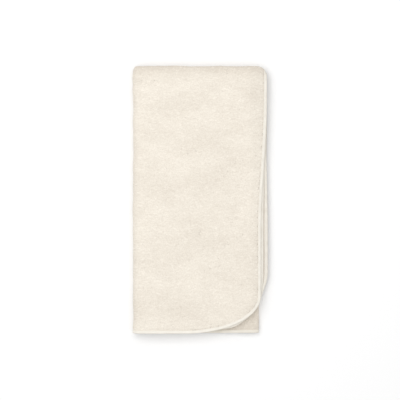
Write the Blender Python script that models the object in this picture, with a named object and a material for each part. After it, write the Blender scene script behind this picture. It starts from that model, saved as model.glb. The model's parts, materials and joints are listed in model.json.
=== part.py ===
"""A hooded baby towel, folded three times into a flat stack.

Metres, +Z up, +Y along the stack. Every piece is first cut flat, in sheet coordinates: u across the
towel, v along it and w off its face, all from its middle. fold_up() then lays each point where the
three folds put it, so all pieces meet however the sizes are changed. The first fold runs along
u = 0, the second along v = 0, and the last closes the packet like a book, along the stack's left edge.
"""

import math

import bmesh
import bpy

# The cut cloth
TOWEL_WIDTH = 0.970
TOWEL_LENGTH = 1.000
CORNER_ACROSS = 0.150  # each rounded corner is a quarter of an ellipse, this wide
CORNER_ALONG = 0.070  # and this long
TERRY_THICKNESS = 0.0032

# The tape bound over the towel's edge
BINDING_WIDTH = 0.006
TAPE_THICKNESS = 0.0006
TAPE_ROUNDING = 0.0008

# The hood, a right-angled corner piece with its own binding along the long side
HOOD_FROM_FOLD = 0.011  # the hood stops this far short of the last fold's bend
HOOD_THICKNESS = 0.0026
HOOD_BINDING_WIDTH = 0.010

# How it is folded
LAST_FOLD_OFF_CENTRE = 0.0085  # the last fold lies this much nearer to the first than to the hem
SKEW_START = 0.065  # below the second fold, where the side hems begin to drift apart
SKEW_END = 0.310
CURL_START = 0.388  # and where they draw in again towards the corners
CURL_END = 0.450
OUTER_HEM_AT_TOP = -0.0018  # side hem of the first and fourth layer, off the widest one
INNER_HEM_AT_TOP = -0.0040  # and of the second and third
FIRST_LAYER_HEM = (-0.0133, -0.0133)  # off the widest one, below the skew and at the corner
SECOND_LAYER_HEM = (-0.0085, -0.0135)
THIRD_LAYER_HEM = (0.0, -0.0150)
FOURTH_LAYER_HEM = (-0.0030, -0.0150)

# Fits
LAYER_GAP = 0.0003  # between faces that touch
SEAM_GAP = 0.0003  # where one cloth is divided into two bodies

# Fineness of the solids
LAST_FOLD_STEPS = 12
SECOND_FOLD_STEPS = 8
FIRST_FOLD_STEPS = 6
CORNER_STEPS = 10
SKEW_STEPS = 5
CURL_STEPS = 4

# Worked out from the above
PITCH = TERRY_THICKNESS + LAYER_GAP
HALF = TERRY_THICKNESS / 2
HOOD_SPACE = HOOD_THICKNESS + LAYER_GAP
RIM = TAPE_THICKNESS + LAYER_GAP  # the terry's edge, inside the tape
LAST_RADIUS = 2 * PITCH + HOOD_SPACE / 2  # of the stack's middle, at each fold
SECOND_RADIUS = PITCH
FIRST_RADIUS = PITCH / 2
LAST_ZONE = LAST_RADIUS * math.pi / 2  # half the cloth that each bend takes up
SECOND_ZONE = SECOND_RADIUS * math.pi / 2
FIRST_ZONE = FIRST_RADIUS * math.pi / 2
OUTER_RADIUS = LAST_RADIUS + 1.5 * PITCH + HALF
BACK_WIDTH = TOWEL_WIDTH / 4 - LAST_FOLD_OFF_CENTRE
FRONT_REACH = TOWEL_WIDTH / 2 - BACK_WIDTH - LAST_ZONE
BACK_REACH = BACK_WIDTH - LAST_ZONE - FIRST_ZONE + FIRST_RADIUS + HALF
TOP_REACH = SECOND_RADIUS + PITCH / 2 + HALF
BOTTOM_REACH = TOWEL_LENGTH / 2 - SECOND_ZONE
HOOD_LEG = FRONT_REACH - HOOD_FROM_FOLD

# The last fold's axis runs along Y through here, with the stack's footprint centred on the origin
HINGE_X = (OUTER_RADIUS - max(FRONT_REACH, BACK_REACH)) / 2
HINGE_Z = OUTER_RADIUS
SECOND_FOLD_Y = (BOTTOM_REACH - TOP_REACH) / 2


def clear_scene():
    for obj in list(bpy.data.objects):
        bpy.data.objects.remove(obj)


def material(name, colour, roughness):
    made = bpy.data.materials.new(name)
    made.use_nodes = True
    shader = made.node_tree.nodes["Principled BSDF"]
    shader.inputs["Base Color"].default_value = (*colour, 1)
    shader.inputs["Roughness"].default_value = roughness
    shader.inputs["Metallic"].default_value = 0
    return made


# ---- Folding


def bend(distance, radius, zone):
    """A crease. distance is how far a point lies past it on the flat cloth, radius how far off the
    bend's centre. Gives (distance from the bend's centre, height over it)."""
    if abs(distance) >= zone:
        return abs(distance) - zone, radius if distance > 0 else -radius
    angle = distance / zone * math.pi / 2
    return -radius * math.cos(angle), radius * math.sin(angle)


def smooth(share):
    share = min(1, max(0, share))
    return share * share * (3 - 2 * share)


def hem_drift(u, v):
    """How far a layer's side hem lies past the widest one: the layers aren't folded quite square."""
    top = OUTER_HEM_AT_TOP if u > 0 else INNER_HEM_AT_TOP
    if v < 0:
        low, corner = FIRST_LAYER_HEM if u > 0 else SECOND_LAYER_HEM
    else:
        low, corner = FOURTH_LAYER_HEM if u > 0 else THIRD_LAYER_HEM
    skewed = smooth((abs(v) - SKEW_START) / (SKEW_END - SKEW_START))
    curled = smooth((abs(v) - CURL_START) / (CURL_END - CURL_START))
    return top + (low - top) * skewed + (corner - low) * curled


def fold_up(u, v, w):
    """Where a point of the flat cloth lies once it is folded, from the last fold's axis at y = 0."""
    along, height = bend(u, FIRST_RADIUS + w, FIRST_ZONE)
    down, height = bend(-v, SECOND_RADIUS + height, SECOND_ZONE)
    along, height = bend(along - (BACK_WIDTH - FIRST_ZONE), LAST_RADIUS + height, LAST_ZONE)
    if abs(u) > BACK_WIDTH and along > 0:
        along *= 1 + hem_drift(u, v) / FRONT_REACH
    return along, SECOND_FOLD_Y - down, height


# ---- Flat patterns, each a closed ring of (u, v) points


def towel_ring(inset):
    """The towel's outline with its four rounded corners, that far in from the edge."""
    points = []
    across = CORNER_ACROSS - inset
    along = CORNER_ALONG - inset
    for quarter, (side_u, side_v) in enumerate(((1, 1), (-1, 1), (-1, -1), (1, -1))):
        middle_u = side_u * (TOWEL_WIDTH / 2 - CORNER_ACROSS)
        middle_v = side_v * (TOWEL_LENGTH / 2 - CORNER_ALONG)
        for step in range(CORNER_STEPS + 1):
            angle = (quarter + step / CORNER_STEPS) * math.pi / 2
            points.append((middle_u + across * math.cos(angle), middle_v + along * math.sin(angle)))
    return points


def hood_ring(inset):
    """The hood's outline: one corner of the towel, cut off by the straight long side."""
    corner = towel_ring(inset)[: CORNER_STEPS + 1]
    leg = HOOD_LEG - inset * math.sqrt(2) - inset
    first = (TOWEL_WIDTH / 2 - inset, TOWEL_LENGTH / 2 - leg)
    last = (TOWEL_WIDTH / 2 - leg, TOWEL_LENGTH / 2 - inset)
    return [first, *corner, last]


def hood_edge_end(inset, from_side):
    """A point that far in from the hood's long side, at the end by the side hem or the bottom hem."""
    leg = HOOD_LEG - inset * math.sqrt(2) - RIM
    if from_side:
        return TOWEL_WIDTH / 2 - RIM, TOWEL_LENGTH / 2 - leg
    return TOWEL_WIDTH / 2 - leg, TOWEL_LENGTH / 2 - RIM


# ---- Flat solids


def bridge(mesh, rings, closed):
    """Faces between each ring of vertices and the next, and from the last to the first if closed."""
    pairs = list(zip(rings, rings[1:] + rings[:1])) if closed else list(zip(rings, rings[1:]))
    for ring, other in pairs:
        for i in range(len(ring)):
            j = (i + 1) % len(ring)
            mesh.faces.new((ring[i], ring[j], other[j], other[i]))


def fill(mesh, faces):
    """Splits flat faces into triangles, so that slicing across one of their notches stays clean."""
    mesh.normal_update()
    bmesh.ops.triangulate(mesh, faces=faces, ngon_method="EAR_CLIP")


def cloth(ring_at, thickness, tape_width, lift=0.0):
    """A piece of terry. Its border is pressed thin where tape is bound over it."""
    half = thickness / 2
    thin = half - RIM
    step_in = tape_width + LAYER_GAP
    levels = (
        (step_in, -half),
        (step_in, -thin),
        (RIM, -thin),
        (RIM, thin),
        (step_in, thin),
        (step_in, half),
    )
    mesh = bmesh.new()
    rings = [[mesh.verts.new((u, v, lift + w)) for u, v in ring_at(inset)] for inset, w in levels]
    bridge(mesh, rings, closed=False)
    mesh.faces.new(rings[0][::-1])
    mesh.faces.new(rings[-1])
    return mesh


def tape_profile(width, thickness):
    """The folded tape's section, as (inset from the edge, w): two legs round a rounded edge."""
    half = thickness / 2
    inner = half - TAPE_THICKNESS
    legs = (
        (width, inner),
        (TAPE_THICKNESS, inner),
        (TAPE_THICKNESS, -inner),
        (width, -inner),
        (width, -half),
        (TAPE_ROUNDING, -half),
        (0, TAPE_ROUNDING - half),
        (0, half - TAPE_ROUNDING),
        (TAPE_ROUNDING, half),
        (width, half),
    )
    return legs


def towel_tape():
    """The tape right round the towel, one closed loop."""
    mesh = bmesh.new()
    levels = tape_profile(BINDING_WIDTH, TERRY_THICKNESS)
    rings = [[mesh.verts.new((u, v, w)) for u, v in towel_ring(inset)] for inset, w in levels]
    bridge(mesh, rings, closed=True)
    return mesh


def hood_tape(lift):
    """The tape along the hood's long side, from the side hem to the bottom hem."""
    mesh = bmesh.new()
    levels = tape_profile(HOOD_BINDING_WIDTH, HOOD_THICKNESS)
    ends = []
    for from_side in (True, False):
        end = [mesh.verts.new((*hood_edge_end(inset, from_side), lift + w)) for inset, w in levels]
        ends.append(end)
    bridge(mesh, ends, closed=False)
    fill(mesh, [mesh.faces.new(ends[0][::-1]), mesh.faces.new(ends[1])])
    return mesh


def cut(mesh, place, normal, clear):
    """Slices the mesh at a plane. With clear, what lies past it goes, and the opening is filled."""
    whole = mesh.verts[:] + mesh.edges[:] + mesh.faces[:]
    found = bmesh.ops.bisect_plane(
        mesh, geom=whole, dist=1e-7, plane_co=place, plane_no=normal, clear_outer=clear
    )
    if clear:
        edges = [item for item in found["geom_cut"] if isinstance(item, bmesh.types.BMEdge)]
        fill(mesh, bmesh.ops.holes_fill(mesh, edges=edges, sides=0)["faces"])


def keep_between(mesh, low_u, high_u):
    cut(mesh, (low_u, 0, 0), (-1, 0, 0), clear=True)
    cut(mesh, (high_u, 0, 0), (1, 0, 0), clear=True)


def fold_lines():
    """The planes, as (place, normal), at which flat cloth is sliced so that it can bend."""
    lines = []
    for step in range(LAST_FOLD_STEPS + 1):
        at = BACK_WIDTH + LAST_ZONE * (2 * step / LAST_FOLD_STEPS - 1)
        lines += [((at, 0, 0), (1, 0, 0)), ((-at, 0, 0), (1, 0, 0))]
    for step in range(FIRST_FOLD_STEPS + 1):
        at = FIRST_ZONE * (2 * step / FIRST_FOLD_STEPS - 1)
        lines.append(((at, 0, 0), (1, 0, 0)))
    for step in range(SECOND_FOLD_STEPS + 1):
        at = SECOND_ZONE * (2 * step / SECOND_FOLD_STEPS - 1)
        lines.append(((0, at, 0), (0, 1, 0)))
    for start, end, steps in ((SKEW_START, SKEW_END, SKEW_STEPS), (CURL_START, CURL_END, CURL_STEPS)):
        for step in range(steps + 1):
            at = start + (end - start) * step / steps
            lines += [((0, at, 0), (0, 1, 0)), ((0, -at, 0), (0, 1, 0))]
    return lines


def add_folded(name, mesh, finish, holder):
    """Folds a flat solid up and adds it to the scene, with its origin on the last fold's axis."""
    for place, normal in fold_lines():
        cut(mesh, place, normal, clear=False)
    for vertex in mesh.verts:
        vertex.co = fold_up(*vertex.co)
    bmesh.ops.triangulate(mesh, faces=mesh.faces[:])
    data = bpy.data.meshes.new(name)
    mesh.to_mesh(data)
    mesh.free()
    data.shade_smooth()
    data.set_sharp_from_angle(angle=math.radians(30))
    data.materials.append(finish)
    obj = bpy.data.objects.new(name, data)
    obj.parent = holder
    bpy.context.scene.collection.objects.link(obj)


def empty(name):
    made = bpy.data.objects.new(name, None)
    made.location = (HINGE_X, 0, HINGE_Z)
    bpy.context.scene.collection.objects.link(made)
    return made


# ---- The pieces

# Spans of u: from the last fold out to the hem, round the last fold, and between it and the first
FRONT_SPAN = (BACK_WIDTH + LAST_ZONE + SEAM_GAP / 2, TOWEL_WIDTH / 2)
CREASE_SPAN = (BACK_WIDTH - LAST_ZONE + SEAM_GAP / 2, BACK_WIDTH + LAST_ZONE - SEAM_GAP / 2)
BACK_SPAN = (LAST_ZONE - BACK_WIDTH + SEAM_GAP / 2, BACK_WIDTH - LAST_ZONE - SEAM_GAP / 2)


def mirrored(span):
    return -span[1], -span[0]


def add_terry(name, span, finish, holder):
    mesh = cloth(towel_ring, TERRY_THICKNESS, BINDING_WIDTH)
    keep_between(mesh, *span)
    add_folded(name, mesh, finish, holder)


def add_binding(name, span, finish, holder, side=0):
    """The tape within a span of u. side -1 or 1 keeps only the hem at that end of v."""
    mesh = towel_tape()
    keep_between(mesh, *span)
    if side:
        cut(mesh, (0, 0, 0), (0, -side, 0), clear=True)
    add_folded(name, mesh, finish, holder)


def add_hood(terry, tape, holder):
    """The hood lies on the fourth layer, on the face towards the back half."""
    lift = HALF + LAYER_GAP + HOOD_THICKNESS / 2
    panel = cloth(hood_ring, HOOD_THICKNESS, HOOD_BINDING_WIDTH, lift)
    add_folded("hood_panel", panel, terry, holder)
    add_folded("hood_edge_binding", hood_tape(lift), tape, holder)


def main():
    clear_scene()
    terry = material("cotton_terry", (0.871, 0.815, 0.723), 0.95)
    tape = material("cotton_binding_tape", (0.905, 0.880, 0.807), 0.75)
    back = empty("back_half")
    front = empty("front_half_hinge")
    add_terry("terry_front_outer", FRONT_SPAN, terry, front)
    add_terry("terry_front_inner", mirrored(FRONT_SPAN), terry, front)
    add_terry("terry_crease_outer", CREASE_SPAN, terry, back)
    add_terry("terry_crease_inner", mirrored(CREASE_SPAN), terry, back)
    add_terry("terry_back", BACK_SPAN, terry, back)
    add_binding("binding_front_outer", FRONT_SPAN, tape, front)
    add_binding("binding_front_inner", mirrored(FRONT_SPAN), tape, front)
    add_binding("binding_crease_first", CREASE_SPAN, tape, back, side=-1)
    add_binding("binding_crease_second", mirrored(CREASE_SPAN), tape, back, side=-1)
    add_binding("binding_crease_third", mirrored(CREASE_SPAN), tape, back, side=1)
    add_binding("binding_crease_fourth", CREASE_SPAN, tape, back, side=1)
    add_binding("binding_back_lower", BACK_SPAN, tape, back, side=-1)
    add_binding("binding_back_upper", BACK_SPAN, tape, back, side=1)
    add_hood(terry, tape, front)


main()
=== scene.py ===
# %% [markdown]
# # A hooded baby towel, folded into a flat stack
#
# The towel is one square of cotton terry, a cloth whose faces are covered in small loops. A folded
# tape is sewn over its whole edge, and a corner piece with a tape of its own makes the hood. It was
# folded in half twice and then closed like a book, so eight layers lie on each other.
#
# A folded cloth is hard to shape where it lies, but easy to shape flat. So every piece here is made
# flat first, in sheet coordinates: u across the towel, v along it and w off its face, from its middle.
# Pile, lumps and stitches are added there, and then one function folds all pieces the same way.

# %% Load the frame
import json
import math

import bpy
import numpy as np
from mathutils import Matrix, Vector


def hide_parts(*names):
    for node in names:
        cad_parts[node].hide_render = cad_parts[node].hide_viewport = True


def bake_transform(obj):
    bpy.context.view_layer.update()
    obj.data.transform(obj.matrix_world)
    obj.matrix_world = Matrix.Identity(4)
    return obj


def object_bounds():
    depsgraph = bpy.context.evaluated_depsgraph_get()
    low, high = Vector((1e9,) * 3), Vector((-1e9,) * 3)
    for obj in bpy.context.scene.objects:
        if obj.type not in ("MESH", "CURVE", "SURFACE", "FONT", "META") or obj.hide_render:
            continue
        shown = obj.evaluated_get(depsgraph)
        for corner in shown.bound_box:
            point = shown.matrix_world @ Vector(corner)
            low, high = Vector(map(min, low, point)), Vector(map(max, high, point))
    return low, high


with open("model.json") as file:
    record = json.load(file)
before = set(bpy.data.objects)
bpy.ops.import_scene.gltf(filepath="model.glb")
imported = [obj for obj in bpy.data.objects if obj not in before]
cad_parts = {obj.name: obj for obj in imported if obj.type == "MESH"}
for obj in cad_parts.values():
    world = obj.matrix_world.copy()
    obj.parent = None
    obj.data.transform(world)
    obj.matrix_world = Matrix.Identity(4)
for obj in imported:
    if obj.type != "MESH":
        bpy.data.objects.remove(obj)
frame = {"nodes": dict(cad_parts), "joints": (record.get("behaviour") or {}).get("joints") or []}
cad_low, cad_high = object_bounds()
last_fold = frame["joints"][0]
hinge_x, _, hinge_z = last_fold["pos_m"]
print("The stack measures", [round(1000 * length, 1) for length in cad_high - cad_low], "mm")

# %% [markdown]
# ## The towel's measures
#
# These are the sizes that a sewing room would write down, in metres. The folds are worked out from
# them, as in the solid model, so that the soft cloth lies where the plain solids lie. A crease's zone is
# how much cloth lies on each side of its middle line before the cloth is flat again.

# %% Cut sizes and fold places
TOWEL_WIDTH = 0.970
TOWEL_LENGTH = 1.000
CORNER_ACROSS = 0.150
CORNER_ALONG = 0.070
TERRY_THICKNESS = 0.0032
TAPE_WIDTH = 0.006
HOOD_FROM_FOLD = 0.011
HOOD_THICKNESS = 0.0026
HOOD_TAPE_WIDTH = 0.010
LAST_FOLD_OFF_CENTRE = 0.0085
LAYER_GAP = 0.0003

PITCH = TERRY_THICKNESS + LAYER_GAP  # from one layer's middle to the next one's
HALF = TERRY_THICKNESS / 2
LAST_RADIUS = 2 * PITCH + (HOOD_THICKNESS + LAYER_GAP) / 2  # to the middle of each half's four layers
SECOND_RADIUS = PITCH
FIRST_RADIUS = PITCH / 2
LAST_ZONE = LAST_RADIUS * math.pi / 2
SECOND_ZONE = SECOND_RADIUS * math.pi / 2
FIRST_ZONE = FIRST_RADIUS * math.pi / 2
OUTER_RADIUS = LAST_RADIUS + 1.5 * PITCH + HALF
BACK_WIDTH = TOWEL_WIDTH / 4 - LAST_FOLD_OFF_CENTRE
FRONT_REACH = TOWEL_WIDTH / 2 - BACK_WIDTH - LAST_ZONE  # how far each half reaches from the hinge
BACK_REACH = BACK_WIDTH - LAST_ZONE - FIRST_ZONE + FIRST_RADIUS + HALF
HOOD_LEG = FRONT_REACH - HOOD_FROM_FOLD
second_fold_y = cad_high.y - SECOND_RADIUS - PITCH / 2 - HALF
side, end = TOWEL_WIDTH / 2, TOWEL_LENGTH / 2  # where the hems lie in the flat sheet
print("The last fold turns at a radius of", round(1000 * OUTER_RADIUS, 1), "mm on its outside")

# %% [markdown]
# ## Folding
#
# A crease lays cloth round a half circle: before the crease it runs one way, past it the other way.
# `bend` does that for one crease, and `fold_up` does it for the three, one after the other. The side
# hems aren't stacked square, as nobody folds that well, so `hem_drift` lets each layer's hem stop at
# its own place. Along the way, `fold_up` notes how far round the last fold each point lies, since
# that is how much of the opening it follows.


# %% The three folds
def bend(distance, radius, zone):
    """A crease. distance is how far a point lies past it, radius how far off the bend's centre."""
    angle = np.clip(distance / zone, -1, 1) * math.pi / 2
    past = np.maximum(np.abs(distance) - zone, 0)
    return past - radius * np.cos(angle), radius * np.sin(angle)


def smooth(share):
    share = np.clip(share, 0, 1)
    return share * share * (3 - 2 * share)


def rise(distance, start, length):
    """0 up to start, then softly up to 1 over that length."""
    return smooth((distance - start) / length)


def fade(distance, start, length):
    """1 up to start, then softly down to 0 over that length."""
    return smooth(1 - (distance - start) / length)


# %% Hems that don't lie square
# Each layer's side hem, off the widest one: by the second fold, below the skew, and at the corner
HEMS = {
    "first": (-0.0018, -0.0133, -0.0133),
    "second": (-0.0040, -0.0085, -0.0135),
    "third": (-0.0040, 0.0, -0.0150),
    "fourth": (-0.0018, -0.0030, -0.0150),
}
# The hems run askew, and then curl in by the corner, over these distances from the second fold.
SKEW_START, SKEW_LENGTH = 0.065, 0.245
CURL_START, CURL_LENGTH = 0.388, 0.062
# The second layer's bottom hem hangs out by this, this far from its side hem, and this widely.
HANG, HANG_FROM_SIDE, HANG_SPREAD = 0.0040, 0.051, 0.022


def hem_drift(u, v):
    """How far a layer's side hem lies past the widest one, in metres."""
    layers = [(u > 0) & (v < 0), (u <= 0) & (v < 0), (u <= 0) & (v >= 0), (u > 0) & (v >= 0)]
    top, low, corner = (np.select(layers, drifts) for drifts in zip(*HEMS.values()))
    skewed = rise(np.abs(v), SKEW_START, SKEW_LENGTH)
    curled = rise(np.abs(v), CURL_START, CURL_LENGTH)
    return top + (low - top) * skewed + (corner - low) * curled


def hem_hang(u, v):
    """How far the second layer's bottom hem hangs out under the first one's, beside the corner."""
    second = (u <= 0) & (v < 0)
    hump = np.exp(-(((side - np.abs(u) - HANG_FROM_SIDE) / HANG_SPREAD) ** 2))
    return np.where(second, HANG * hump, 0) * rise(np.abs(v), CURL_START, CURL_LENGTH)


deepest = min(min(drifts) for drifts in HEMS.values())
print("The side hems lie up to", -1000 * deepest, "mm in from the widest one")

# %% [markdown]
# Between the two halves lies the hood, in one corner only. Elsewhere real layers loosen a little
# until they touch, so `loosened` lets both halves swell inwards, away from the hood. `settle` then
# does what gravity, hands and time do to the whole stack: its free hems get thin and sag, its folds
# aren't ruler straight, and the ends of its folds are blunt.


# %% Loosening
LOOSENING = 0.09  # how much thicker the layers lie where no hood is between them, as a share


def ripples(u, v, wavelength, seed, stretch=1.0):
    """Soft lumps about that far apart, mostly within -1 to 1: waves in seeded random directions."""
    draw = np.random.default_rng(seed)
    total = np.zeros(np.broadcast(u, v).shape)
    waves = 14
    for turn, size, shift in draw.uniform((0, 0.7, 0), (math.pi, 1.5, 2 * math.pi), (waves, 3)):
        along = np.cos(turn) * u / stretch + np.sin(turn) * v
        total += np.sin(2 * math.pi * along / (wavelength * size) + shift)
    return total / math.sqrt(waves)


def loosened(radius, along, down):
    """The radius from the last fold's axis, where the layers swell inwards to close the hood's gap."""
    from_hood = (FRONT_REACH - along) + (end - down) - HOOD_LEG
    share = LOOSENING * rise(from_hood, -0.004, 0.045)
    return OUTER_RADIUS - (OUTER_RADIUS - radius) * (1 + share)


# %% Settling
LOFT_LOST = 0.035  # the share of its height that the stack loses away from the last fold
THIN_AT_SIDE, THIN_AT_END = 0.20, 0.06  # and those that it loses at its free hems
SAG_RADIUS = 0.040  # how tightly a hem curves down over the fold below it
BULGE, BULGE_AT, BULGE_SPREAD = 0.0012, 0.204, 0.007  # one thick place in the last fold
TOP_FOLD_SLACK = 0.0011  # how far the second fold stays short of its place


def sag(x, y, z):
    """The height once the layers have been pressed, and how much of it the hems lost by drooping."""
    from_left, from_right = x - cad_low.x, cad_high.x - x
    loft = 1 - LOFT_LOST * rise(from_left, 0.02, 0.15)
    loft += 0.006 * ripples(x, y, 0.09, seed=3) * rise(from_left, 0.012, 0.030)
    level = z * loft
    thin_side = THIN_AT_SIDE * fade(from_right, 0.006, 0.030)
    thin_end = THIN_AT_END * fade(y, cad_low.y, 0.025)
    z = level * (1 - np.maximum(thin_side, thin_end))
    # The front half's hems, which lie over 12 mm up, overhang the back half's fold.
    over = np.maximum(x - hinge_x - BACK_REACH + 0.003, 0)
    z = z - over**2 / (2 * SAG_RADIUS) * rise(z, 0.012, 0.003)
    return z, level - z


def blunted(distance, radius):
    """How far a fold's end is drawn in at a distance from its tip, when it is rounded so much."""
    return radius - np.sqrt(radius**2 - np.clip(radius - distance, 0, radius) ** 2)


def settle(x, y, z):
    """What handling does to the folded stack. Gives the places, and how much each point drooped."""
    from_left, from_right, from_top = x - cad_low.x, cad_high.x - x, cad_high.y - y
    z, droop = sag(x, y, z)
    # No fold is ruler straight, but its innermost layer turns in place.
    from_axis = np.hypot(np.minimum(x - hinge_x, 0), z - hinge_z)
    wavy = fade(from_left, 0, 0.035) * rise(from_axis, 0, 0.010)
    bulge = BULGE * np.exp(-(((y - BULGE_AT) / BULGE_SPREAD) ** 2))
    left = 0.0004 * ripples(y, 0 * y, 0.035, seed=5) + 0.0005 * ripples(y, 0 * y, 0.11, seed=6)
    x = x + (left - bulge) * wavy
    top = 0.0005 * ripples(x, z, 0.045, seed=8) + 0.0004 * ripples(x, 0 * x, 0.12, seed=9)
    y = y + (top - TOP_FOLD_SLACK) * fade(from_top, 0, 0.03)
    blunt = blunted(from_left, 0.006) + 0.75 * blunted(from_right - 0.004, 0.015)
    y = y - blunt * fade(from_top, 0, 0.045)
    return x, y, z, droop


# %% The whole folding
def fold_up(flat):
    """Folds points of the flat cloth. Gives their places and how far each follows the front half."""
    u, v, w = flat.T
    along, height = bend(u, FIRST_RADIUS + w, FIRST_ZONE)
    down, height = bend(-v, SECOND_RADIUS + height, SECOND_ZONE)
    down = down + hem_hang(u, v)
    past = along - (BACK_WIDTH - FIRST_ZONE)
    radius = loosened(LAST_RADIUS + height, np.maximum(np.abs(past) - LAST_ZONE, 0), down)
    along, height = bend(past, radius, LAST_ZONE)
    hems = (np.abs(u) > BACK_WIDTH) & (along > 0)
    along = np.where(hems, along * (1 + hem_drift(u, v) / FRONT_REACH), along)
    x, y, z, droop = settle(hinge_x + along, second_fold_y - down, hinge_z + height)
    # A hem that hangs when folded turns a little further, so that it lies flat once opened.
    follows = np.clip(past / LAST_ZONE, -1, 1) / 2 + 0.5
    follows += np.where(past > 0, droop / np.maximum(along, LAST_ZONE) / math.pi, 0)
    return np.stack([x, y, z], axis=1), follows


print("The flat sheet's middle goes to", fold_up(np.zeros((1, 3)))[0][0].round(4), "in the stack")

# %% [markdown]
# ## Small helpers
#
# A mesh's points are read and written as one table, which is quick for large meshes. `fold_piece`
# keeps the flat coordinates in an attribute named `sheet`, and the materials read it: a pattern
# that is placed by the sheet runs round every fold as real yarn does. A second attribute tells the
# materials where to paint shade: along the rounded edges of the folds, and on the faces and hems that
# lie inside the stack.


# %% Points, new pieces and values
def points_of(piece):
    table = np.empty(len(piece.data.vertices) * 3, np.float32)
    piece.data.vertices.foreach_get("co", table)
    return table.reshape(-1, 3).astype(float)


def set_points(piece, points):
    piece.data.vertices.foreach_set("co", points.astype(np.float32).ravel())
    piece.data.update()


def new_piece(name, points, faces):
    mesh = bpy.data.meshes.new(name)
    mesh.from_pydata(points.reshape(-1, 3).tolist(), [], faces)
    piece = bpy.data.objects.new(name, mesh)
    bpy.context.scene.collection.objects.link(piece)
    return piece


def keep_values(piece, name, values):
    """Keeps a value for each point, under a name that a material can read."""
    kept = piece.data.attributes.new(name, "FLOAT", "POINT")
    kept.data.foreach_set("value", values.astype(np.float32))


def select_only(piece):
    bpy.ops.object.select_all(action="DESELECT")
    piece.select_set(True)
    bpy.context.view_layer.objects.active = piece


# %% Folding a piece
# How strongly shade is painted between the halves, on the inner hems, and along the last fold's edge.
SHADE_BETWEEN_HALVES, SHADE_AT_INNER_HEMS, SHADE_AT_LAST_FOLD = 0.8, 0.4, 0.3


def painted_shade_at_folds(flat):
    """How much shade is painted on, from 0 to 1: along the rounded fold edges, between the halves and on
    the inner hems.
    """
    u, v, w = flat.T
    from_last = np.abs(np.abs(u) - BACK_WIDTH)
    at_last, at_second = np.exp(-((from_last / 0.008) ** 2)), np.exp(-((v / 0.012) ** 2))
    # Painted shade: along the rounded edges of the last and second folds, between the halves, and on the
    # inner hems.
    between_halves = (w > 0) & (u > 0) & (v > 0)
    inner_hem = (np.abs(u) > BACK_WIDTH + LAST_ZONE) & ((u < 0) | (v > 0))
    stack_shade = np.where(between_halves, SHADE_BETWEEN_HALVES, np.where(inner_hem, SHADE_AT_INNER_HEMS, 0))
    stack_shade = stack_shade * rise(np.abs(v), 0.01, 0.06)
    return np.maximum(np.maximum(SHADE_AT_LAST_FOLD * at_last, at_second), stack_shade)


def fold_piece(piece):
    """Folds a flat piece, shades it smooth, and gives how far each point follows the front half."""
    flat = points_of(piece)
    sheet = piece.data.attributes.new("sheet", "FLOAT_VECTOR", "POINT")
    sheet.data.foreach_set("vector", flat.astype(np.float32).ravel())
    # Where shade is painted on, from 0 to 1.
    keep_values(piece, "parted", painted_shade_at_folds(flat))
    places, follows = fold_up(flat)
    set_points(piece, places)
    select_only(piece)
    bpy.ops.object.shade_smooth()
    print(piece.name, "has", len(piece.data.polygons), "faces")
    return follows


def bend_with_fold(piece):
    """Bakes the piece's transform into its points. Nothing here turns it with the last fold."""
    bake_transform(piece)


# %% [markdown]
# ## The terry cloth
#
# The cloth starts as a grid. Its rows and columns are moved so that they lie closest where the cloth
# will bend and where its hems get thin, and far apart where it stays flat and hidden. The square
# corners are then drawn in to quarter ellipses: within a corner's block, each point slides along so
# that the square's edge lands on the ellipse, and nothing bunches up.


# %% A grid with close rows at the folds
def spaced(*stretches):
    """Places that join end to end. Each stretch is (from, to, how far apart)."""
    runs = [np.linspace(a, b, max(1, round((b - a) / step)), endpoint=False) for a, b, step in stretches]
    return np.concatenate([*runs, [stretches[-1][1]]])


bend_in, bend_out = BACK_WIDTH - LAST_ZONE, BACK_WIDTH + LAST_ZONE
HEM_STRIP = 0.010  # the cloth gets thin towards its hems over less than this
columns = spaced(
    (-side, -side + HEM_STRIP, 0.0025),
    (-side + HEM_STRIP, -bend_out, 0.012),
    (-bend_out, -bend_in, 0.0022),
    (-bend_in, -FIRST_ZONE, 0.012),
    (-FIRST_ZONE, FIRST_ZONE, 0.0008),
    (FIRST_ZONE, bend_in, 0.006),
    (bend_in, bend_out, 0.0017),
    (bend_out, side - HEM_STRIP, 0.0031),
    (side - HEM_STRIP, side, 0.0025),
)
rows = spaced(
    (-end, -end + HEM_STRIP, 0.0025),
    (-end + HEM_STRIP, -SECOND_ZONE, 0.0036),
    (-SECOND_ZONE, SECOND_ZONE, 0.0010),
    (SECOND_ZONE, end - HEM_STRIP, 0.0065),
    (end - HEM_STRIP, end, 0.0025),
)
bpy.ops.object.select_all(action="DESELECT")
bpy.ops.mesh.primitive_grid_add(x_subdivisions=len(columns) - 1, y_subdivisions=len(rows) - 1, size=1)
terry_cloth = bpy.context.object
terry_cloth.name = "terry_cloth"
grid = points_of(terry_cloth)
column = np.rint((grid[:, 0] + 0.5) * (len(columns) - 1)).astype(int)
row = np.rint((grid[:, 1] + 0.5) * (len(rows) - 1)).astype(int)
print("The grid has", len(columns), "columns and", len(rows), "rows")


# %% Rounded corners
def round_corners(u, v):
    """Draws the square corners in to quarter ellipses."""
    across = np.clip((np.abs(u) - side + CORNER_ACROSS) / CORNER_ACROSS, 0, 1)
    along = np.clip((np.abs(v) - end + CORNER_ALONG) / CORNER_ALONG, 0, 1)
    in_u = CORNER_ACROSS * across * (1 - np.sqrt(1 - along**2 / 2))
    in_v = CORNER_ALONG * along * (1 - np.sqrt(1 - across**2 / 2))
    return u - np.sign(u) * in_u, v - np.sign(v) * in_v


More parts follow.
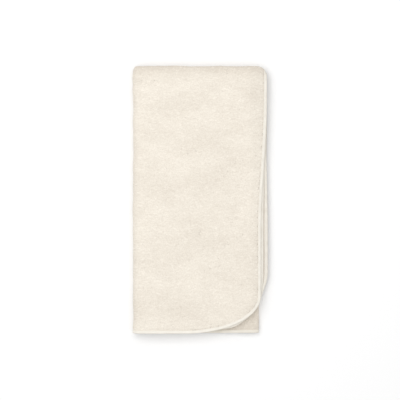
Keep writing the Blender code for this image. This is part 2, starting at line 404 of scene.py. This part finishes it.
def from_hem(u, v):
    """How far a point lies in from the cloth's edge."""
    du = np.abs(u) - side + CORNER_ACROSS
    dv = np.abs(v) - end + CORNER_ALONG
    reach = np.sqrt((du / CORNER_ACROSS) ** 2 + (dv / CORNER_ALONG) ** 2)
    to_ellipse = np.hypot(du, dv) * (1 / np.maximum(reach, 1e-6) - 1)
    straight = np.minimum(side - np.abs(u), end - np.abs(v))
    return np.where((du > 0) & (dv > 0), to_ellipse, straight)


def past_hood(u, v):
    """How far a point lies past the hood's long side, along a leg. It is below 0 on the hood."""
    return (side - u) + (end - v) - HOOD_LEG


u, v = round_corners(columns[column], rows[row])
set_points(terry_cloth, np.stack([u, v, 0 * u], axis=1))
print("Its outermost points lie", abs(round(1000 * from_hem(u, v).min(), 3)), "mm off the rounded edge")

# %% [markdown]
# Solidify gives the flat cloth its two faces. It is applied before the fold, while both faces are
# still plain planes, so that the tight inner bends can't cross. Then the pile is shaped: it is
# pressed thin under the tape, and it stands in soft lumps. On the top face, and on the two faces that
# show once the last fold is opened, it stands up freely. Elsewhere, and under the hood, it is
# squashed flatter.


# %% Thickness and pile
def give_two_faces(piece, thickness):
    solidify = piece.modifiers.new("two faces", "SOLIDIFY")
    solidify.thickness = thickness
    solidify.offset = 0
    select_only(piece)
    bpy.ops.object.modifier_apply(modifier=solidify.name)


PRESSED = 0.0007  # half the cloth's thickness inside the tape
TIPS = HALF - 0.0002  # how far the tips of the pile stand off its middle on average
VALLEY = 0.00035  # how much flatter the pile lies inside the last fold
SWELL_FROM = 0.0045  # how far in from the hem the tape lets go of the pile


def pile_height(u, v, face):
    """How far the tips of the pile stand off the cloth's middle."""
    swell = rise(from_hem(u, v), SWELL_FROM, 0.005)
    lumps = 0.00010 * ripples(u, v, 0.028, seed=11) + 0.00007 * ripples(u, v, 0.011, seed=12, stretch=1.8)
    inside = (face > 0) & (u > 0) & (v > 0)
    on_top = (face > 0) & (u > BACK_WIDTH) & (v <= 0)
    free = (inside & (past_hood(u, v) >= 0.010)) | on_top
    height = TIPS + np.where(free, 1.6, 0.6) * lumps
    # The flattened pile inside the last fold leaves a soft valley when the towel is opened.
    valley = VALLEY * fade(np.abs(u - BACK_WIDTH), LAST_ZONE - 0.001, 0.006)
    height = np.where(inside, height - valley, height)
    return PRESSED + (height - PRESSED) * swell


give_two_faces(terry_cloth, TERRY_THICKNESS)
u, v, w = points_of(terry_cloth).T
face = np.sign(w)
set_points(terry_cloth, np.stack([u, v, face * pile_height(u, v, face)], axis=1))
terry_follows = fold_piece(terry_cloth)

# %% [markdown]
# After a few washes the loops don't stand singly: they lean together in small tufts, a few
# millimetres wide, which lie across the cloth like fish scales. One tuft is modelled as a flattened,
# slightly curved ball. Thousands of copies, each with its own length and direction and with painted
# light or shade, are set into the top face and into the two faces that show once the last fold is
# opened, half sunk in the cloth. The copies are placed flat too, and folded with the cloth.


# %% One small shape, repeated
def take_shape():
    """The points and faces of the selected object, which is then removed."""
    piece = bpy.context.object
    points = points_of(piece)
    faces = [tuple(polygon.vertices) for polygon in piece.data.polygons]
    mesh = piece.data
    bpy.data.objects.remove(piece)
    bpy.data.meshes.remove(mesh)
    return points, faces


def tuft_shape(length, width, height, curve):
    """A low mound, longer than wide and bent to one side, with a flat underside."""
    bpy.ops.object.select_all(action="DESELECT")
    bpy.ops.mesh.primitive_uv_sphere_add(segments=7, ring_count=4, radius=1)
    bpy.ops.object.mode_set(mode="EDIT")
    bpy.ops.mesh.select_all(action="SELECT")
    bpy.ops.mesh.bisect(plane_co=(0, 0, 0.1), plane_no=(0, 0, 1), use_fill=True, clear_inner=True)
    bpy.ops.object.mode_set(mode="OBJECT")
    points, faces = take_shape()
    x, y, _ = points.T
    mound = [x * length / 2, y * width / 2 + curve * x**2, height * (1 - x**2 - y**2)]
    return np.stack(mound, axis=1), faces


def repeat_shape(name, shape, middles, directions, heights, sizes=1.0, sides=1.0):
    """Copies of a shape: where each lies, which way it runs, how high it is, its size and its side."""
    points, faces = shape
    count = len(points)
    sideways = np.stack([-directions[:, 1], directions[:, 0]], axis=1) * np.reshape(sides, (-1, 1))
    x, y, z = points.T
    x = np.reshape(sizes, (-1, 1)) * x
    copies = np.empty((len(middles), count, 3))
    for axis in (0, 1):
        turned = directions[:, axis, None] * x + sideways[:, axis, None] * y
        copies[:, :, axis] = middles[:, axis, None] + turned
    copies[:, :, 2] = heights[:, None] + z
    copied = [tuple(i * count + k for k in face) for i in range(len(middles)) for face in faces]
    return new_piece(name, copies, copied)


# %% Tufts
TUFT_LENGTH, TUFT_WIDTH, TUFT_HEIGHT = 0.0100, 0.0032, 0.00060
TUFTS_ACROSS, TUFTS_ALONG = 0.0069, 0.0022  # how far apart they stand
TUFT_DEPTH = 0.00036  # how deep a tuft is set into the pile's tips
FROM_EDGE, FROM_BEND, FROM_HEM = 0.006, 0.004, 0.0085  # how far off they keep
tuft = tuft_shape(TUFT_LENGTH, TUFT_WIDTH, TUFT_HEIGHT, curve=0.0007)


def tuft_places(low_u, high_u, low_v, high_v, draw):
    """Loosely staggered places over a stretch of the cloth."""
    rows_u, rows_v = np.arange(low_u, high_u, TUFTS_ACROSS), np.arange(low_v, high_v, TUFTS_ALONG)
    u, v = np.meshgrid(rows_u, rows_v, indexing="ij")
    shift = draw.uniform(-0.5, 0.5, (2, *u.shape))
    return (u + TUFTS_ACROSS * shift[0]).ravel(), (v + TUFTS_ALONG * shift[1]).ravel()


def grow_tufts(name, u, v, draw):
    """Tufts at those places, each with its own direction, height, size and painted light or shade."""
    count = len(u)
    lean = 0.22 * ripples(u, v, 0.035, seed=42) + draw.normal(0, 0.18, count)  # in radians
    directions = np.stack([np.cos(lean), np.sin(lean)], axis=1)
    heights = pile_height(u, v, 1) - TUFT_DEPTH + draw.normal(0, 0.00004, count)
    sizes, sides = draw.uniform(0.55, 1.35, count), draw.choice([-1.0, 1.0], count)
    tufts = repeat_shape(name, tuft, np.stack([u, v], axis=1), directions, heights, sizes, sides)
    # Each tuft gets painted light or shade, as if it leaned toward or away from the lamp: a few stray far,
    # but none so far that it looks like a stain.
    lean_lights = np.clip(draw.normal(0.35, 0.60, count), -0.4, 1.4)
    keep_values(tufts, "lit", np.repeat(lean_lights, len(tuft[0])))
    return tufts


draw = np.random.default_rng(41)
low_v, high_v = -end + FROM_EDGE, end - FROM_EDGE
hem_u = side - FROM_EDGE
places = {
    "pile_tufts_above": tuft_places(bend_in + FROM_BEND, hem_u, -end / 2, SECOND_ZONE, draw),
    "pile_tufts_below": tuft_places(bend_in + FROM_BEND, hem_u, low_v, -end / 2, draw),
    "pile_tufts_inside_back": tuft_places(0, bend_in - FROM_BEND, SECOND_ZONE, high_v, draw),
    "pile_tufts_inside_front": tuft_places(bend_out + FROM_BEND, hem_u, SECOND_ZONE, high_v, draw),
}
tufts = []
for name, (u, v) in places.items():
    under_hood = (v > 0) & (past_hood(u, v) < 0.006)
    grows = (from_hem(u, v) > FROM_HEM) & ~under_hood
    tufts.append(grow_tufts(name, u[grows], v[grows], draw))
tuft_follows = [fold_piece(piece) for piece in tufts]

# %% [markdown]
# ## The binding
#
# The tape is folded over the edge, a leg on each face, and one row of stitches holds both. Seen in
# section it is a rounded letter U with a shallow groove where the stitches pull it down. That
# section is carried round the towel from station to station. A station is a place on the edge with
# a direction to the outside, so any distance in from the edge is found from it.


# %% Stations round the edge
def edge_stations(step):
    """(centre u, centre v, angle) at places round the edge, closest together at the folds."""
    inner_u, inner_v = side - CORNER_ACROSS, end - CORNER_ALONG
    tight, wide = 0.0008, 0.0015  # steps in the two tight folds and in the wide last one
    half_across = spaced(
        (0, FIRST_ZONE, tight), (FIRST_ZONE, bend_in, step), (bend_in, bend_out, wide),
        (bend_out, inner_u, step),
    )
    half_along = spaced((0, SECOND_ZONE, tight), (SECOND_ZONE, inner_v, step))
    across = np.concatenate([-half_across[:0:-1], half_across])
    along = np.concatenate([-half_along[:0:-1], half_along])
    arc_steps = round(math.pi / 2 * math.sqrt((CORNER_ACROSS**2 + CORNER_ALONG**2) / 2) / step)
    arc = np.linspace(0, math.pi / 2, arc_steps + 1)[1:-1]
    quarter = math.pi / 2
    runs = [
        (inner_u + 0 * along, along, 0 * along),
        (inner_u + 0 * arc, inner_v + 0 * arc, arc),
        (across[::-1], inner_v + 0 * across, quarter + 0 * across),
        (-inner_u + 0 * arc, inner_v + 0 * arc, quarter + arc),
        (-inner_u + 0 * along, along[::-1], 2 * quarter + 0 * along),
        (-inner_u + 0 * arc, -inner_v + 0 * arc, 2 * quarter + arc),
        (across, -inner_v + 0 * across, 3 * quarter + 0 * across),
        (inner_u + 0 * arc, -inner_v + 0 * arc, 3 * quarter + arc),
    ]
    return np.concatenate([np.stack(run, axis=1) for run in runs])


def at_inset(stations, inset):
    """The points that far in from the edge."""
    centre_u, centre_v, angle = stations.T
    u = centre_u + (CORNER_ACROSS - inset) * np.cos(angle)
    v = centre_v + (CORNER_ALONG - inset) * np.sin(angle)
    return u, v


def along_edge(stations):
    """How far along the edge each station lies, and the edge's whole length."""
    u, v = at_inset(stations, 0)
    steps = np.hypot(np.diff(u, append=u[0]), np.diff(v, append=v[0]))
    return np.concatenate([[0], np.cumsum(steps)[:-1]]), steps.sum()


STATIONS_APART = 0.0016
stations = edge_stations(STATIONS_APART)
along, edge_length = along_edge(stations)
print("The binding has", len(stations), "stations on", round(edge_length, 3), "m of edge")


# %% The tape's section
TAPE_PLY = 0.0009  # how thick one leg is
STITCH_ROW = 0.80  # where the stitches run, as a share of the tape's width
GROOVE = 0.00038  # how deep they pull it down


def tape_section(width, half):
    """Points of one leg as (how far in, how far off the middle), on its outside and its inside."""
    outside = [
        (width, half - 0.00035),
        (width - 0.0004, half - 0.00012),
        (STITCH_ROW * width, half - GROOVE),
        (0.62 * width, half - 0.00008),
        (0.40 * width, half),
        (0.20 * width, half - 0.00012),
        (0.07 * width, 0.70 * half),
        (0.0, 0.28 * half),
    ]
    inside = [
        (0.0008, 0.25 * half),
        (0.30 * width, half - TAPE_PLY),
        (width - 0.0003, half - TAPE_PLY),
    ]
    return outside, inside


def lay_tape(name, line_at, section, raised, closed):
    """Carries the section along. line_at(inset) gives u and v, raised how much higher the w > 0 leg is."""
    outside, inside = section
    thickest = max(w for _, w in outside)
    legs = [(inset, w, 1) for inset, w in outside] + [(inset, w, -1) for inset, w in outside[::-1]]
    lining = [(inset, w, -1) for inset, w in inside[::-1]] + [(inset, w, 1) for inset, w in inside]
    lines = []
    for inset, w, face in legs + lining:
        u, v = line_at(inset)
        height = w * face + (raised * min(1, w / thickest) if face > 0 else 0)
        lines.append(np.stack([u, v, height + 0 * u], axis=1))
    points = np.stack(lines, axis=1)
    count, around = points.shape[:2]
    last = count if closed else count - 1
    faces = [
        (i * around + j, i * around + (j + 1) % around,
         (i + 1) % count * around + (j + 1) % around, (i + 1) % count * around + j)
        for i in range(last) for j in range(around)
    ]
    if not closed:
        faces += [tuple(range(around))[::-1], tuple((count - 1) * around + j for j in range(around))]
    return new_piece(name, points, faces)


# %% The edge binding
STITCH_LENGTH = 0.0032
TAPE_HALF = HALF + 0.0001  # half the thickness over the tape, a little more than the cloth's
HOOD_IN_TAPE = 0.0013  # how much higher the leg lies that catches the hood too
edge_u, edge_v = at_inset(stations, 0)
beside_hood = fade(past_hood(edge_u, edge_v), -0.008, 0.012)
pucker = 0.00008 * np.cos(2 * math.pi * along / STITCH_LENGTH)
pucker += 0.00006 * ripples(along, 0 * along, 0.012, seed=21)
wander = 0.00018 * ripples(along, 0 * along, 0.05, seed=22)
edge_tape = lay_tape(
    "edge_binding_tape",
    lambda inset: at_inset(stations, inset + (wander if inset > TAPE_WIDTH / 2 else 0)),
    tape_section(TAPE_WIDTH, TAPE_HALF),
    pucker + HOOD_IN_TAPE * beside_hood,
    closed=True,
)
tape_follows = fold_piece(edge_tape)

# %% [markdown]
# ## Stitches
#
# A lockstitch shows as a row of short threads on both faces of the tape. One stitch is modelled as a
# small stretched ball and copied along the row in flat coordinates, before the fold.


# %% One stitch, copied along a row
bpy.ops.object.select_all(action="DESELECT")
bpy.ops.mesh.primitive_uv_sphere_add(segments=6, ring_count=4, radius=1)
bpy.context.object.scale = (0.0013, 0.00028, 0.00022)  # half a stitch's length, width and height
bpy.ops.object.transform_apply(location=False, rotation=False, scale=True)
stitch = take_shape()


def row_of_stitches(line_u, line_v, over, under, closed):
    """Middles, directions and heights of the stitches on both faces, a stitch length apart."""
    if closed:
        line_u, line_v = np.append(line_u, line_u[0]), np.append(line_v, line_v[0])
        over = np.append(over, over[0])
    gone = np.concatenate([[0], np.cumsum(np.hypot(np.diff(line_u), np.diff(line_v)))])
    count = int(gone[-1] / STITCH_LENGTH)
    at = (np.arange(count) + 0.5) * gone[-1] / count

    def on_line(places):
        return np.stack([np.interp(places, gone, line_u), np.interp(places, gone, line_v)], axis=1)

    nearby = 0.0005
    middles = on_line(at)
    directions = on_line(at + nearby) - on_line(at - nearby)
    directions /= np.linalg.norm(directions, axis=1)[:, None]
    high = np.interp(at, gone, over)
    low = np.full(count, -under)
    return np.tile(middles, (2, 1)), np.tile(directions, (2, 1)), np.concatenate([high, low])


THREAD_OUT = 0.00012  # how far a thread's middle stands out of the groove
stitch_u, stitch_v = at_inset(stations, STITCH_ROW * TAPE_WIDTH + wander)
under = TAPE_HALF - GROOVE + THREAD_OUT
over = under + HOOD_IN_TAPE * beside_hood
middles, directions, heights = row_of_stitches(stitch_u, stitch_v, over, under, closed=True)
edge_stitches = repeat_shape("edge_binding_stitches", stitch, middles, directions, heights)
stitch_follows = fold_piece(edge_stitches)
print(len(middles), "stitches")

# %% [markdown]
# ## The hood
#
# The hood is a triangle of the same terry, laid on one corner of the towel. Its two short sides are
# caught in the edge binding, and its long side, which frames the child's face, has a wider tape.
# It is made like the cloth: a grid, rounded at the corner, cut along the long side and solidified.

# %% The hood's cloth
HOOD_HALF = HOOD_THICKNESS / 2
HOOD_LIFT = HALF + LAYER_GAP + HOOD_HALF  # how high the hood's middle lies over the cloth's
CAUGHT = 0.0018  # how far inside the binding the hood's edge ends
CUT_BACK = 0.004  # how much shorter its legs are cut, so that its tape folds over the cut
cells = 60
bpy.ops.object.select_all(action="DESELECT")
bpy.ops.mesh.primitive_grid_add(x_subdivisions=cells, y_subdivisions=cells, size=HOOD_LEG)
hood_cloth = bpy.context.object
hood_cloth.name = "hood_cloth"
x, y, _ = points_of(hood_cloth).T
u, v = round_corners(x + side - HOOD_LEG / 2, y + end - HOOD_LEG / 2)
set_points(hood_cloth, np.stack([u, v, 0 * u], axis=1))
cut_leg = HOOD_LEG - CUT_BACK
cut_through = (side - cut_leg / 2, end - cut_leg / 2, 0)
bpy.ops.object.mode_set(mode="EDIT")
bpy.ops.mesh.select_all(action="SELECT")
bpy.ops.mesh.bisect(plane_co=cut_through, plane_no=(1, 1, 0), clear_inner=True)
bpy.ops.object.mode_set(mode="OBJECT")
give_two_faces(hood_cloth, HOOD_THICKNESS)

# %% The hood's pile
HOOD_PRESSED = 0.0004  # half its thickness inside the tapes
u, v, w = points_of(hood_cloth).T
face = np.sign(w)
inset = from_hem(u, v)
from_long_side = -(past_hood(u, v) + CUT_BACK) / math.sqrt(2)
swell = rise(inset, SWELL_FROM, 0.006) * rise(from_long_side, 0.008, 0.006)
pull_in = np.maximum(CAUGHT - inset, 0)
u, v = u - np.sign(u) * pull_in, v - np.sign(v) * pull_in
lumps = 0.00012 * ripples(u, v, 0.025, seed=31) + 0.00008 * ripples(u, v, 0.010, seed=32)
middle = HOOD_LIFT - 0.0007 * (1 - rise(inset, 0.003, 0.010))  # the binding pulls it down to the cloth
thick = HOOD_PRESSED + (HOOD_HALF - 0.0005 + lumps) * swell
set_points(hood_cloth, np.stack([u, v, middle + face * thick], axis=1))
hood_follows = fold_piece(hood_cloth)

# %% The hood's tape and its stitches
HOOD_STATIONS = 130
TAPE_END = 0.0015  # how far inside the edge binding the tape's ends lie


def hood_line(inset):
    """The line that far in from the hood's long side, from the side hem to the bottom hem."""
    share = np.linspace(0, 1, HOOD_STATIONS)
    down_leg = HOOD_LEG - TAPE_END - inset * math.sqrt(2)
    start_u, start_v = side - TAPE_END, end - down_leg
    finish_u, finish_v = side - down_leg, end - TAPE_END
    return start_u + (finish_u - start_u) * share, start_v + (finish_v - start_v) * share


hood_section = tape_section(HOOD_TAPE_WIDTH, HOOD_HALF)
hood_tape = lay_tape("hood_binding_tape", hood_line, hood_section, np.zeros(HOOD_STATIONS), closed=False)
flat = points_of(hood_tape)
flat[:, 2] += HOOD_LIFT
set_points(hood_tape, flat)
hood_tape_follows = fold_piece(hood_tape)
stitch_u, stitch_v = hood_line(STITCH_ROW * HOOD_TAPE_WIDTH)
under = HOOD_HALF - GROOVE + THREAD_OUT
over = np.full(HOOD_STATIONS, under)
middles, directions, heights = row_of_stitches(stitch_u, stitch_v, over, under, closed=False)
hood_stitches = repeat_shape("hood_binding_stitches", stitch, middles, directions, heights + HOOD_LIFT)
hood_stitch_follows = fold_piece(hood_stitches)

# %% [markdown]
# ## Materials
#
# Colours are written as sRGB hex values, as a paint chart gives them, and turned to the linear
# values that a shader works with. One helper adds a node with its settings and links.


# %% Colour and node helpers
def linear(hex_colour):
    """An sRGB hex colour as the linear RGBA that a shader takes."""
    channels = [int(hex_colour[i : i + 2], 16) / 255 for i in (1, 3, 5)]
    turned = [c / 12.92 if c <= 0.04045 else ((c + 0.055) / 1.055) ** 2.4 for c in channels]
    return (*turned, 1.0)


def add_node(tree, kind, settings=None, links=None):
    """A node with its properties or input values set, and its inputs linked from other outputs."""
    made = tree.nodes.new(kind)
    for name, value in (settings or {}).items():
        if isinstance(name, int) or name in made.inputs:
            made.inputs[name].default_value = value
        else:
            setattr(made, name, value)
    for name, output in (links or {}).items():
        tree.links.new(output, made.inputs[name])
    return made


def start_material(name, settings):
    """A material with one Principled BSDF, and its tree."""
    material = bpy.data.materials.new(name)
    material.use_nodes = True
    shader = material.node_tree.nodes["Principled BSDF"]
    for socket, value in settings.items():
        shader.inputs[socket].default_value = value
    return material, material.node_tree, shader


# %% [markdown]
# Terry is cotton: dull, a little warm, with loops that catch light at their tips and shade each
# other between. They gather in clumps where the cloth was washed and handled, and over the width of a
# palm the pile leans this way or that, which shows as very soft light and dark. All three are patterns
# in the sheet's own coordinates, with sizes in metres, and all three are painted into the colour as
# light and shade: lighter loop tips and clumps with painted shade between them, and palm-wide painted
# light and shade. The loops and clumps also shape the bumps. Each tuft's painted light or shade is
# added to them, and painted shade darkens the cloth along the folds' edges and inside the stack.


# %% Cotton terry
LOOPS_APART = 0.0024  # real ones stand 1 to 2 mm apart, which is too fine to show
CLUMP_SIZE = 0.0055
PALM_SIZE = 0.045


def terry_material(name, seed):
    """Uncut loop pile, undyed combed cotton."""
    material, tree, shader = start_material(
        name, {"Roughness": 0.95, "Sheen Weight": 0.12, "Sheen Roughness": 0.6, "Specular IOR Level": 0.2}
    )
    sheet = add_node(tree, "ShaderNodeAttribute", {"attribute_name": "sheet"}).outputs["Vector"]
    leaning = add_node(
        tree, "ShaderNodeMapping",
        {"Location": (seed, 0, 0), "Rotation": (0, 0, 0.15), "Scale": (0.45, 1, 1)},
        {"Vector": sheet},
    ).outputs["Vector"]
    loops = add_node(
        tree, "ShaderNodeTexVoronoi",
        {"Scale": 1 / LOOPS_APART, "feature": "SMOOTH_F1", "Smoothness": 0.6},
        {"Vector": sheet},
    ).outputs["Distance"]
    clumps = add_node(
        tree, "ShaderNodeTexNoise",
        {"Scale": 1 / CLUMP_SIZE, "Detail": 3.0, "Roughness": 0.6, "Distortion": 0.6},
        {"Vector": leaning},
    ).outputs["Fac"]
    palm = add_node(
        tree, "ShaderNodeTexNoise",
        {"Scale": 1 / PALM_SIZE, "Detail": 4.0, "Roughness": 0.6},
        {"Vector": leaning},
    ).outputs["Fac"]
    tips = add_node(
        tree, "ShaderNodeMapRange", {"From Min": 0.15, "From Max": 0.85, "To Min": 1.0, "To Max": 0.0},
        {"Value": loops},
    ).outputs["Result"]
    height = add_node(
        tree, "ShaderNodeMix", {"data_type": "FLOAT", "Factor": 0.5}, {2: tips, 3: clumps}
    ).outputs[0]
    # The colour's tone: painted light on loop tips and clumps, painted shade between them, and palm-wide
    # painted light and shade.
    painted_light_and_shade = add_node(
        tree, "ShaderNodeMix", {"data_type": "FLOAT", "Factor": 0.52}, {2: height, 3: palm}
    ).outputs[0]
    # Each tuft's painted light or shade counts for a seventh of the tone, and full painted shade takes
    # nearly a third of it away.
    lit = add_node(tree, "ShaderNodeAttribute", {"attribute_name": "lit"}).outputs["Fac"]
    with_tufts = add_node(
        tree, "ShaderNodeMath", {"operation": "MULTIPLY_ADD", 1: 0.14}, {0: lit, 2: painted_light_and_shade}
    ).outputs[0]
    parted = add_node(tree, "ShaderNodeAttribute", {"attribute_name": "parted"}).outputs["Fac"]
    shaded = add_node(
        tree, "ShaderNodeMath", {"operation": "MULTIPLY_ADD", 1: -0.30}, {0: parted, 2: with_tufts}
    ).outputs[0]
    colour = add_node(
        tree, "ShaderNodeMapRange", {"From Min": 0.21, "From Max": 0.79}, {"Value": shaded}
    ).outputs["Result"]
    base_colour = add_node(
        tree, "ShaderNodeMix",
        {"data_type": "RGBA", 6: linear("#D8CFC2"), 7: linear("#F2EBDF")},
        {0: colour},
    ).outputs[2]
    bumps = add_node(
        tree, "ShaderNodeBump", {"Strength": 0.45, "Distance": 0.0006}, {"Height": height}
    ).outputs["Normal"]
    tree.links.new(base_colour, shader.inputs["Base Color"])
    tree.links.new(bumps, shader.inputs["Normal"])
    return material


# %% [markdown]
# The tape is a plain woven cotton strip, smoother and whiter than the pile. Its yarns are 0.4 mm
# apart, too fine to show at this distance, so they are drawn 1 mm apart. The thread is the same
# cotton, mercerised, so it shines slightly more.


# %% Woven tape and sewing thread
WAVE = 0.314  # how far apart the bands of a wave texture with a scale of 1 lie
YARNS_APART = 0.0010
PLIES_APART = 0.0005


def tape_material(name):
    """Plain woven cotton tape."""
    material, tree, shader = start_material(
        name, {"Roughness": 0.8, "Sheen Weight": 0.1, "Sheen Roughness": 0.5, "Specular IOR Level": 0.3}
    )
    sheet = add_node(tree, "ShaderNodeAttribute", {"attribute_name": "sheet"}).outputs["Vector"]
    warp = add_node(
        tree, "ShaderNodeTexWave", {"Scale": WAVE / YARNS_APART, "bands_direction": "X", "Distortion": 1.0},
        {"Vector": sheet},
    ).outputs["Fac"]
    weft = add_node(
        tree, "ShaderNodeTexWave", {"Scale": WAVE / YARNS_APART, "bands_direction": "Y", "Distortion": 1.0},
        {"Vector": sheet},
    ).outputs["Fac"]
    weave = add_node(
        tree, "ShaderNodeMix", {"data_type": "FLOAT", "Factor": 0.5}, {2: warp, 3: weft}
    ).outputs[0]
    shade = add_node(
        tree, "ShaderNodeTexNoise", {"Scale": 1 / 0.012, "Detail": 3.0}, {"Vector": sheet}
    ).outputs["Fac"]
    # Painted shade darkens the tape on the inner hems, between the halves and along the folds' edges.
    parted = add_node(tree, "ShaderNodeAttribute", {"attribute_name": "parted"}).outputs["Fac"]
    shaded = add_node(
        tree, "ShaderNodeMath",
        {"operation": "MULTIPLY_ADD", 1: -0.45, "use_clamp": True},
        {0: parted, 2: shade},
    ).outputs[0]
    base_colour = add_node(
        tree, "ShaderNodeMix",
        {"data_type": "RGBA", 6: linear("#E4DED2"), 7: linear("#F9F5EC")},
        {0: shaded},
    ).outputs[2]
    bumps = add_node(
        tree, "ShaderNodeBump", {"Strength": 0.3, "Distance": 0.0003}, {"Height": weave}
    ).outputs["Normal"]
    tree.links.new(base_colour, shader.inputs["Base Color"])
    tree.links.new(bumps, shader.inputs["Normal"])
    return material


def thread_material(name):
    """Mercerised cotton sewing thread, two plies twisted 0.5 mm apart."""
    material, tree, shader = start_material(name, {"Roughness": 0.6, "Sheen Weight": 0.1})
    sheet = add_node(tree, "ShaderNodeAttribute", {"attribute_name": "sheet"}).outputs["Vector"]
    twist = add_node(
        tree, "ShaderNodeTexWave", {"Scale": WAVE / PLIES_APART, "bands_direction": "DIAGONAL"},
        {"Vector": sheet},
    ).outputs["Fac"]
    base_colour = add_node(
        tree, "ShaderNodeMix",
        {"data_type": "RGBA", 6: linear("#E2DBCF"), 7: linear("#F4EFE6")},
        {0: twist},
    ).outputs[2]
    tree.links.new(base_colour, shader.inputs["Base Color"])
    return material


terry = terry_material("cotton_terry", seed=0.0)
hood_terry = terry_material("cotton_terry_of_hood", seed=3.0)
tape = tape_material("woven_cotton_tape")
thread = thread_material("mercerised_thread")
for piece, finish in (
    (terry_cloth, terry),
    *((piece, terry) for piece in tufts),
    (edge_tape, tape),
    (edge_stitches, thread),
    (hood_cloth, hood_terry),
    (hood_tape, tape),
    (hood_stitches, thread),
):
    piece.data.materials.append(finish)
    print(piece.name, "is made of", finish.name)

# %% [markdown]
# ## The pieces and the model's solids
#
# The cloth, its tape and its stitches cross the last fold. The hood lies wholly on the front half, but it
# is sewn to hems that sag when folded and lie flat when opened. How far each point follows the front half
# is worked out for every piece, but nothing here uses it: each piece only has its transform baked into
# its points, and the model's own solids are hidden.

# %% Baked places, and the model's solids hidden
for piece, follows in (
    (terry_cloth, terry_follows),
    *zip(tufts, tuft_follows),
    (edge_tape, tape_follows),
    (edge_stitches, stitch_follows),
    (hood_cloth, hood_follows),
    (hood_tape, hood_tape_follows),
    (hood_stitches, hood_stitch_follows),
):
    bend_with_fold(piece)

terry_nodes = [name for name in frame["nodes"] if name.startswith("terry_")]
binding_nodes = [name for name in frame["nodes"] if name.startswith("binding_")]
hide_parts(*terry_nodes)
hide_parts(*binding_nodes)
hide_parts("hood_panel")
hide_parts("hood_edge_binding")

# %% [markdown]
# ## Floor, light and camera
#
# The towel lies on a plain white floor. Most light comes from all round and from a large panel
# overhead, and a round soft lamp, high up and to the left, gives the hems a shaded side. The camera
# looks straight down from far off, so that no side shows.

# %% Floor
bpy.ops.object.select_all(action="DESELECT")
bpy.ops.mesh.primitive_plane_add(size=8, location=(0, 0, -0.0002))  # a hair below, so no faces meet
floor = bpy.context.object
floor.name = "floor"
paper, _, _ = start_material(
    "matt_white_paper", {"Base Color": linear("#F8F8F8"), "Roughness": 1.0, "Specular IOR Level": 0.0}
)
floor.data.materials.append(paper)

# %% Light
world = bpy.data.worlds.new("studio")
world.use_nodes = True
world.node_tree.nodes["Background"].inputs["Color"].default_value = (1, 1, 1, 1)
world.node_tree.nodes["Background"].inputs["Strength"].default_value = 0.58
bpy.context.scene.world = world

bpy.ops.object.light_add(type="AREA", location=(-0.8, 0.45, 1.95))
lamp = bpy.context.object
lamp.name = "softbox"
lamp.data.shape = "DISK"
lamp.data.size = 2.2
lamp.data.energy = 14
lamp.rotation_euler = (-lamp.location).to_track_quat("-Z", "Y").to_euler()

bpy.ops.object.light_add(type="AREA", location=(0, 0.2, 2.2))
ceiling = bpy.context.object
ceiling.name = "ceiling_panel"
ceiling.data.shape = "SQUARE"
ceiling.data.size = 3.0
ceiling.data.energy = 25
print("The lamps give", lamp.data.energy, "and", ceiling.data.energy, "watts")

# %% Camera
VIEW_WIDTH = 0.746  # what the picture takes in, across the stack's top face
CAMERA_HEIGHT = 2.6
CAMERA_X, CAMERA_Y = -0.0007, -0.001
bpy.ops.object.camera_add(location=(CAMERA_X, CAMERA_Y, cad_high.z + CAMERA_HEIGHT), rotation=(0, 0, 0))
camera = bpy.context.object
camera.data.sensor_width = 36
camera.data.lens = camera.data.sensor_width * CAMERA_HEIGHT / VIEW_WIDTH
bpy.context.scene.camera = camera
bpy.context.scene.view_settings.view_transform = "Standard"
print("The camera's lens is", round(camera.data.lens), "mm long")
